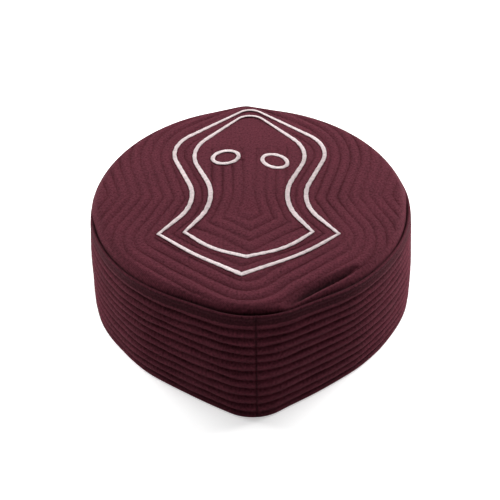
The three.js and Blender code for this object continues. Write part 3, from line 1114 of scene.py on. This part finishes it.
def to_embroidery(points):
    """Distance to the nearest embroidered line, and whether a point is inside one of the rings."""
    gaps = [np.abs(signed_distance(points, line)) for line in (OUTER, INNER)]
    rings = [signed_distance(points, ring) for ring in RINGS.values()]
    return np.minimum.reduce(gaps + [np.abs(ring) for ring in rings]), np.minimum.reduce(rings) < 0


def room_for_rows(points, level):
    """Distance to the embroidery, and 1 where rows run free or 0 by it, in the rings and in the toe."""
    gap, in_ring = to_embroidery(points)
    toe = between(points[:, 1], TOE_FADE["start"], TOE_FADE["end"])
    clear = np.clip(gap - EMBROIDERY_CLEAR, 0, 1) * (1 - toe * (level < INSIDE_CREST))
    return gap, np.where(in_ring, 0, clear)


def panel_relief(points, level, depth):
    """How far quilting and embroidery pull the panel in, and the shade painted on each point."""
    x, y = points.T
    gap, free = room_for_rows(points, level)
    row = echo_dip(level, SWELL_POWER) * free
    press = EMBROIDERY_PRESS * np.exp(-((gap / PRESS_WIDTH) ** 2))
    front = FRONT_DEEPER["share"] * between(y, FRONT_DEEPER["start"], FRONT_DEEPER["end"])
    pull = depth * row * (1 + uneven("panel row depth", x, y) + front)
    pucker = uneven("panel pucker", x, y) * row**PUCKER_POWER
    beside = BESIDE["dark"] * np.exp(-(((gap - BESIDE["away"]) / BESIDE["width"]) ** 2))
    # Painted shade in the grooves of the rows and along the embroidery.
    groove = PANEL_DARK * np.maximum(echo_dip(level, GROOVE_POWER) * free, beside)
    return pull + press + pucker, groove


middle_clear = to_embroidery(np.zeros((1, 2)))[0][0]
print(f"the embroidery is {middle_clear:.1f} mm away from the motif's middle")

# %% [markdown]
# ## A mesh that runs with the rows
#
# A square grid would cut across the rows and leave them ragged. Here rays run out from the motif's
# axis to the edge, and points sit where a ray meets each level of the distance. Every groove then has
# its own line of points, and a V in a row stays a clean V.

# %% Rays from the motif's axis
RAYS = [  # along the axis, and in degrees from the right
    {"start": (-22, -22), "angle": (-90, -9), "steps": 78},
    {"start": (-22, 44), "angle": (-9, 12), "steps": 86},
    {"start": (44, 44), "angle": (12, 90), "steps": 78},
]
ON_EDGE = 1e-9  # so that a ray through a corner still counts as crossing


def panel_rays():
    """Starts on the axis and directions, anticlockwise from the heel, in the motif's own frame."""
    starts = [np.linspace(*fan["start"], fan["steps"], endpoint=False) for fan in RAYS]
    angles = [np.linspace(*fan["angle"], fan["steps"], endpoint=False) for fan in RAYS]
    start = np.concatenate(starts + [[RAYS[-1]["start"][1]]])
    angle = np.radians(np.concatenate(angles + [[RAYS[-1]["angle"][1]]]))
    right = np.stack([np.cos(angle), np.sin(angle)], axis=1)
    left = right[-2:0:-1] * (-1, 1)
    return np.concatenate([start, start[-2:0:-1]]), np.concatenate([right, left])


def ray_reach(origin, direction, closed):
    """How far each ray runs before it crosses a closed outline."""
    edge = np.roll(closed, -1, axis=0) - closed
    to_corner = closed - origin[:, None]
    heading = direction[:, None]
    turn = heading[..., 0] * edge[:, 1] - heading[..., 1] * edge[:, 0]
    run = (to_corner[..., 0] * edge[:, 1] - to_corner[..., 1] * edge[:, 0]) / turn
    share = (to_corner[..., 0] * heading[..., 1] - to_corner[..., 1] * heading[..., 0]) / turn
    crossed = (share > -ON_EDGE) & (share < 1 + ON_EDGE) & (run > 0)
    return np.where(crossed, run, np.inf).min(axis=1)


AXIS_START, RAY_HEADING = panel_rays()
RAY_ORIGIN = np.stack([np.zeros_like(AXIS_START), AXIS_START], axis=1)
TO_INNER = ray_reach(RAY_ORIGIN, RAY_HEADING, INNER)
TO_OUTER = ray_reach(RAY_ORIGIN, RAY_HEADING, OUTER)
CAP_RAYS = on_cap(RAY_ORIGIN), turned(RAY_HEADING, MOTIF_TURN)
TO_MARGIN = ray_reach(*CAP_RAYS, PANEL_MARGIN)
TO_EDGE = {side: ray_reach(*CAP_RAYS, edge) for side, edge in PANEL_EDGE.items()}
print(len(AXIS_START), "rays of up to", TO_EDGE["top"].max().round(1), "mm")

# %% [markdown]
# ## Three zones along each ray
#
# The two white lines part each ray into three zones, because the rows in each follow an outline of
# their own. A table of levels along the ray answers where a level is reached: NumPy can interpolate
# it, which is far quicker than cutting outlines with rays.

# %% Levels along the rays
RAY_SAMPLES = 150
LEAST_RISE = 1e-6  # keeps the levels in a table rising
NEAREST = 0.2  # points keep this far from the ends of a zone


def on_rays(run):
    return RAY_ORIGIN + run[:, None] * RAY_HEADING


def zone(first, last, field):
    """Places along every ray, between two distances from the axis, and the levels there."""
    run = first[:, None] + (last - first)[:, None] * np.linspace(0, 1, RAY_SAMPLES)
    points = RAY_ORIGIN[:, None] + run[..., None] * RAY_HEADING[:, None]
    level = field(points.reshape(-1, 2)).reshape(run.shape)
    rising = np.maximum.accumulate(level, axis=1) + LEAST_RISE * np.arange(RAY_SAMPLES)
    return {"run": run, "level": rising}


ZONES = {
    "inside": zone(np.zeros_like(TO_INNER), TO_INNER, inside_level),
    "between": zone(TO_INNER, TO_OUTER, between_level),
    "outside": zone(TO_OUTER, TO_MARGIN, outside_level),
}


def zone_rows(name):
    level = ZONES[name]["level"]
    return np.arange(math.ceil(level.min() / ECHO_PITCH), math.floor(level.max() / ECHO_PITCH) + 1)


def ray_places(name, level):
    """How far along each ray a zone reaches a level, and on which rays that is well within it."""
    run, levels = ZONES[name]["run"], ZONES[name]["level"]
    reached = np.array([np.interp(level, *pair) for pair in zip(levels, run)])
    return reached, (reached > run[:, 0] + NEAREST) & (reached < run[:, -1] - NEAREST)


print({name: len(zone_rows(name)) for name in ZONES}, "rows in each zone")

# %% [markdown]
# ## Rings of the panel
#
# Each row gets several rings of points, close together in the groove and further apart on the crest. A
# row may leave its zone on some rays. There the ring takes over the points of the white line or the
# margin, so that no hole opens. Rows that would lie under the embroidery are left out.

# %% Rings of the panel
COVERED_ROWS = {"inside": (), "between": (0, -2), "outside": ()}
EDGE_SHARES = (0.2, 0.4, 0.58, 0.74, 0.87, 0.95, 1.0)  # from the margin out to the edge


def face_of_panel(steps, to_edge):
    """Motif-frame points, their levels and the rings of point numbers, from the axis to the edge."""
    axis_start, axis = np.unique(AXIS_START, return_inverse=True)
    points = [np.stack([np.zeros_like(axis_start), axis_start], axis=1)]
    levels = [inside_level(points[0])]
    rings = [axis]

    def add_points(run, level, rays):
        first = sum(len(group) for group in points)
        points.append(on_rays(run)[rays])
        levels.append(np.full(rays.sum(), level))
        return first + np.arange(rays.sum())

    every = np.ones(len(AXIS_START), bool)
    ends = [add_points(run, INSIDE_CREST, every) for run in (TO_INNER, TO_OUTER, TO_MARGIN)]
    for name, start, end in zip(ZONES, [axis] + ends, ends):
        middle = ZONES[name]["run"].mean(axis=1)
        for row in zone_rows(name):
            for step in steps:
                run, free = ray_places(name, (row + step) * ECHO_PITCH)
                level = (row + (0.5 if row in COVERED_ROWS[name] else step)) * ECHO_PITCH
                numbers = np.where(run < middle, start, end)
                numbers[free] = add_points(run, level, free)
                rings.append(numbers)
        rings.append(end)
    for share in EDGE_SHARES:
        rings.append(add_points(TO_MARGIN + (to_edge - TO_MARGIN) * share, INSIDE_CREST, every))
    return np.concatenate(points), np.concatenate(levels), rings


print(len(EDGE_SHARES), "rings run from the margin to the edge")

# %% [markdown]
# ## The top panel
#
# The top face takes the plain height, less the rows, and its edge rolls down into the seam, most of all
# in front, where the seam gapes and gets the most painted shade. The underside lies a wall's thickness
# lower and shows the rows faintly. A turned eave joins the two faces and gets full painted shade.

# %% The top panel
ECHO_STEPS = (-0.36, -0.22, -0.12, -0.05, 0, 0.05, 0.12, 0.22, 0.36, 0.5)  # in pitches
UNDER_STEPS = (-0.2, 0, 0.2, 0.5)
UNDER_DEPTH = 0.4
MARGIN_FADE = 2.0  # mm within the margin over which the rows begin
SLACK_FADE = 12.0  # mm from the edge over which the cloth becomes slack
EDGE_ROLL = {"side": 0.5, "front": 1.8}  # width of the edge that rolls down into the seam
EDGE_ROLL_DROP = {"side": 0.1, "front": 1.3}
SEAM_POWER = 2.5  # how fast the dark of the seam fades
DENT_PAINTED_SHADE = 2.4  # painted shade in the fold
DENT_SHADE_POWER = 2.2
# The most painted shade that a point takes.
DARKEST = 1.5
EAVE = {"front": HEIGHT - 3.0, "back": HEIGHT - LIP_TUCK + 0.1}  # height of the turn under the edge


def panel_face(side, steps, depth):
    """Points of one face of the panel, how much shade is painted on each, and the rings."""
    points, level, rings = face_of_panel(steps, TO_EDGE[side])
    plan = on_cap(points)
    height, from_edge = panel_height(plan, side)
    pull, groove = panel_relief(points, level, depth)
    fade = np.clip((from_edge - MARGIN) / MARGIN_FADE, 0, 1)
    slack = uneven("panel slack", *plan.T) * np.clip(from_edge / SLACK_FADE, 0, 1)
    rolled = (1 - np.clip(from_edge / side_to_front(EDGE_ROLL, plan), 0, 1)) * (1 - cover(plan))
    if side == "top":
        drop = side_to_front(EDGE_ROLL_DROP, plan) * (1 - np.sqrt(1 - rolled**2))
        height = height - pull * fade + slack - drop
    else:
        seat = np.where(from_edge < MARGIN, LEDGE + GAP / 2, 0)
        height = np.maximum(height - WALL + pull * fade + slack, seat)
    folded = dent(plan, from_edge) / DENT_DEPTH
    # Painted shade in the seam, where the edge rolls down.
    seam = side_to_front(SEAM_PAINTED_SHADE, plan) * rolled**SEAM_POWER
    # The fold of the dent gets painted shade on top of that in the rows and the seam.
    groove = np.maximum(groove * fade, seam) + DENT_PAINTED_SHADE * folded**DENT_SHADE_POWER
    return lifted(plan, height), np.minimum(groove, DARKEST), rings


def panel_piece():
    under, under_groove, under_rings = panel_face("under", UNDER_STEPS, UNDER_DEPTH)
    top, top_groove, top_rings = panel_face("top", ECHO_STEPS, ECHO_DEPTH)
    eave = on_cap(on_rays(TO_EDGE["under"]))
    eave_height = EAVE["front"] + (EAVE["back"] - EAVE["front"]) * cover(eave)
    points = np.concatenate([under, top, lifted(eave, eave_height)])
    # The eave under the panel's edge gets full painted shade.
    groove = np.concatenate([under_groove, top_groove, np.ones(len(eave))])
    eave_ring = len(under) + len(top) + np.arange(len(eave))
    rings = under_rings + [eave_ring] + [ring + len(under) for ring in top_rings[::-1]]
    return ring_mesh("top_panel_cloth", points, rings, points[:, :2], groove, closed=False)


panel = panel_piece()
panel.data.materials.append(TWILL)
describe(panel)

# %% [markdown]
# ## Stitches of the panel
#
# The echo rows are sewn with the same thread as the band's. Each row is the line of points on its
# level. It is broken where it would run under the embroidery or off the edge of the panel.

# %% Running stitches on the panel
PANEL_STITCH_LIFT = 0.02
ROOM_FOR_THREAD = 0.3  # where a row has less room than this, it isn't sewn
SLOPE_STEP = 0.4


def panel_frame(points):
    """Cap-frame points on the plain panel and the directions away from it."""
    plan = on_cap(points)
    height = panel_height(plan)[0]
    east = panel_height(plan + (SLOPE_STEP, 0))[0] - panel_height(plan - (SLOPE_STEP, 0))[0]
    north = panel_height(plan + (0, SLOPE_STEP))[0] - panel_height(plan - (0, SLOPE_STEP))[0]
    up = np.stack([-east, -north, np.full_like(height, 2 * SLOPE_STEP)], axis=1)
    return lifted(plan, height), unit(up)


def sewn_rows():
    """Motif-frame points on all the rows that are sewn, their levels and the edges that join them."""
    points, levels, edges = [], [], []
    for name in ZONES:
        for row in zone_rows(name):
            if row in COVERED_ROWS[name]:
                continue
            run, free = ray_places(name, row * ECHO_PITCH)
            here, level = on_rays(run), np.full(len(run), row * ECHO_PITCH)
            free &= room_for_rows(here, level)[1] > ROOM_FOR_THREAD
            joined = free & np.roll(free, -1)
            numbers = len(points) * len(here) + np.arange(len(here))
            edges += np.stack([numbers, np.roll(numbers, -1)], axis=1)[joined].tolist()
            points.append(here)
            levels.append(level)
    used, edges = np.unique(edges, return_inverse=True)
    return np.concatenate(points)[used], np.concatenate(levels)[used], edges.reshape(-1, 2)


def panel_stitch_path():
    points, levels, edges = sewn_rows()
    place, up = panel_frame(points)
    place[:, 2] += PANEL_STITCH_LIFT - panel_relief(points, levels, ECHO_DEPTH)[0]
    ahead = np.zeros_like(place)
    for end in edges.T:
        np.add.at(ahead, end, place[edges[:, 1]] - place[edges[:, 0]])
    return place, edges.tolist(), STITCH_HALF_LENGTH * unit(ahead), up


panel_stitches = lay_thread("top_panel_stitches", panel_stitch_path(), **RUNNING_STITCH, seed=12)
describe(panel_stitches)

# %% [markdown]
# ## The embroidery
#
# Satin stitch is thread laid side by side across a line, so tight that no cloth shows. The same tree
# makes it: the reach now goes across the path, half the line's width to either side. The line is
# broad at the waist and fine at the toe and the heel's corners, as the table of the motif says. At a
# corner the reach is mitred, and the threads fan round it as they do on the real cap.

# %% Satin stitch
SATIN_STITCH = {"spacing": 0.31, "radius": 0.21, "arch": 0.1, "finish": SATIN}
RING_HALF_WIDTH = 1.1
SATIN_LIFT = 0.08
SATIN_SLANT = 0.3  # how far each thread leans along the line
FIRST_SEED = 31


def satin_path(closed, half_width):
    before, after = np.roll(closed, 1, axis=0), np.roll(closed, -1, axis=0)
    into, out = unit(closed - before), unit(after - closed)
    outward = unit(np.stack([into[:, 1] + out[:, 1], -into[:, 0] - out[:, 0]], axis=1))
    mitre = outward[:, 0] * into[:, 1] - outward[:, 1] * into[:, 0]
    run = np.linalg.norm(closed - before, axis=1).cumsum()
    ragged = 1 + uneven("satin edge", run)
    reach = outward * (ragged * half_width / mitre)[:, None] + (into + out) / 2 * SATIN_SLANT
    place, up = panel_frame(closed)
    place[:, 2] += SATIN_LIFT
    tip, tail = panel_frame(closed + reach)[0], panel_frame(closed - reach)[0]
    numbers = np.arange(len(closed))
    edges = np.stack([numbers, np.roll(numbers, -1)], axis=1).tolist()
    return place, edges, (tip - tail) / 2, up


SATIN_LINES = {"motif_outer": (OUTER, OUTER_HALF_WIDTH), "motif_inner": (INNER, INNER_HALF_WIDTH)}
SATIN_LINES |= {name: (ring, np.full(len(ring), RING_HALF_WIDTH)) for name, ring in RINGS.items()}
embroidery = {}
for seed, (node, line) in enumerate(SATIN_LINES.items(), FIRST_SEED):
    embroidery[node] = lay_thread(node + "_satin", satin_path(*line), **SATIN_STITCH, seed=seed)
    describe(embroidery[node])

# %% [markdown]
# ## The floor
#
# The cap is shown on a plain pale floor. It gives off a little light of its own, as a light table does,
# so that it stays white in the picture and hardly takes a shadow.

# %% Floor
FLOOR_SIZE = 6.0
FLOOR_DROP = 0.2 * MM
PALE = (0.8, 0.8, 0.8)
FLOOR_MOTTLE = 0.02
MOTTLE_SCALE = 3.0
FLOOR_GLOW = 0.5


def floor_piece():
    mesh = bpy.data.meshes.new("floor")
    half = FLOOR_SIZE / 2
    corners = [(x * half, y * half, -FLOOR_DROP) for x, y in ((-1, -1), (1, -1), (1, 1), (-1, 1))]
    mesh.from_pydata(corners, [], [(0, 1, 2, 3)])
    finish = Finish("pale_floor")
    place = finish.node("ShaderNodeTexCoord", output="Object")
    mottle = 1 + finish.noise(place, MOTTLE_SCALE) * FLOOR_MOTTLE
    finish.set(base_color=finish.tint(PALE, mottle), roughness=0.9, specular_ior_level=0.1)
    finish.set(emission_color=(1, 1, 1, 1), emission_strength=FLOOR_GLOW)
    mesh.materials.append(finish.material)
    return put_in_scene("floor", mesh)


floor = floor_piece()
print("floor", FLOOR_SIZE, "m wide")

# %% [markdown]
# ## The light
#
# Three soft boxes stand above the cap and at both sides, all of them behind it, and almost no light
# comes from the camera's side. So the front of the band falls into shade, light skims over the rows of
# the panel, and the swells at both sides catch it. The Standard view transform keeps white white.

# %% Soft boxes
SOFT_BOXES = {
    "overhead": {"place": (0.0, 0.9, 1.5), "size": (1.6, 1.2), "watts": 4.4},
    "left": {"place": (-0.97, 0.67, 0.58), "size": (0.7, 0.7), "watts": 26.0},
    "right": {"place": (0.97, 0.67, 0.58), "size": (0.7, 0.7), "watts": 34.0},
}
LIGHT_AIM = Vector((0, 0, 0.03))
WORLD_STRENGTH = 0.045


def soft_box(name, place, size, watts):
    light = bpy.data.lights.new(name, "AREA")
    light.shape = "RECTANGLE"
    light.size, light.size_y = size
    light.energy = watts
    made = put_in_scene(name, light)
    made.location = place
    made.rotation_euler = (LIGHT_AIM - Vector(place)).to_track_quat("-Z", "Y").to_euler()


for name, box in SOFT_BOXES.items():
    soft_box(name, **box)
world = bpy.data.worlds.new("studio")
bpy.context.scene.world = world
world.use_nodes = True
background = world.node_tree.nodes["Background"].inputs
background["Color"].default_value = (1, 1, 1, 1)
background["Strength"].default_value = WORLD_STRENGTH
bpy.context.scene.view_settings.view_transform = "Standard"
print(len(SOFT_BOXES), "soft boxes")

# %% [markdown]
# ## The camera
#
# The camera looks down on the front of the cap through a long lens, from nearly straight ahead. Its
# place follows from the point it aims at, the direction it looks in and its distance, and at last it
# is rolled by a fraction of a degree.

# %% Camera
CAMERA_PITCH = math.radians(39.56)
CAMERA_HEADING = math.radians(1.375)
CAMERA_ROLL = math.radians(0.62)
CAMERA_AIM = Vector((-0.33, 0.01, 28.81)) * MM
CAMERA_DISTANCE = 859.4 * MM
CAMERA_LENS = 106.51
CAMERA_SENSOR = 36.0
camera_data = bpy.data.cameras.new("camera")
camera_data.lens = CAMERA_LENS
camera_data.sensor_width = CAMERA_SENSOR
camera = put_in_scene("camera", camera_data)
bpy.context.scene.camera = camera
view_line = Vector((math.sin(CAMERA_HEADING), math.cos(CAMERA_HEADING), 0)) * math.cos(CAMERA_PITCH)
view_line.z = -math.sin(CAMERA_PITCH)
facing = view_line.to_track_quat("-Z", "Y").to_matrix().to_4x4()
camera_place = Matrix.Translation(CAMERA_AIM - view_line * CAMERA_DISTANCE)
camera.matrix_world = camera_place @ facing @ Matrix.Rotation(-CAMERA_ROLL, 4, "Z")
print("camera at", [round(v, 3) for v in camera.location])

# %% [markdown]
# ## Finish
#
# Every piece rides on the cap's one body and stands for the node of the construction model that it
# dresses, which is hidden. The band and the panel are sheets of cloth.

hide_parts("band")
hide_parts("top_panel")
for node, piece in embroidery.items():
    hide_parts(node)
for piece in (band, panel, band_stitches, panel_stitches):
    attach(piece, "root")
for piece in embroidery.values():
    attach(piece, "root")

# %% [markdown]
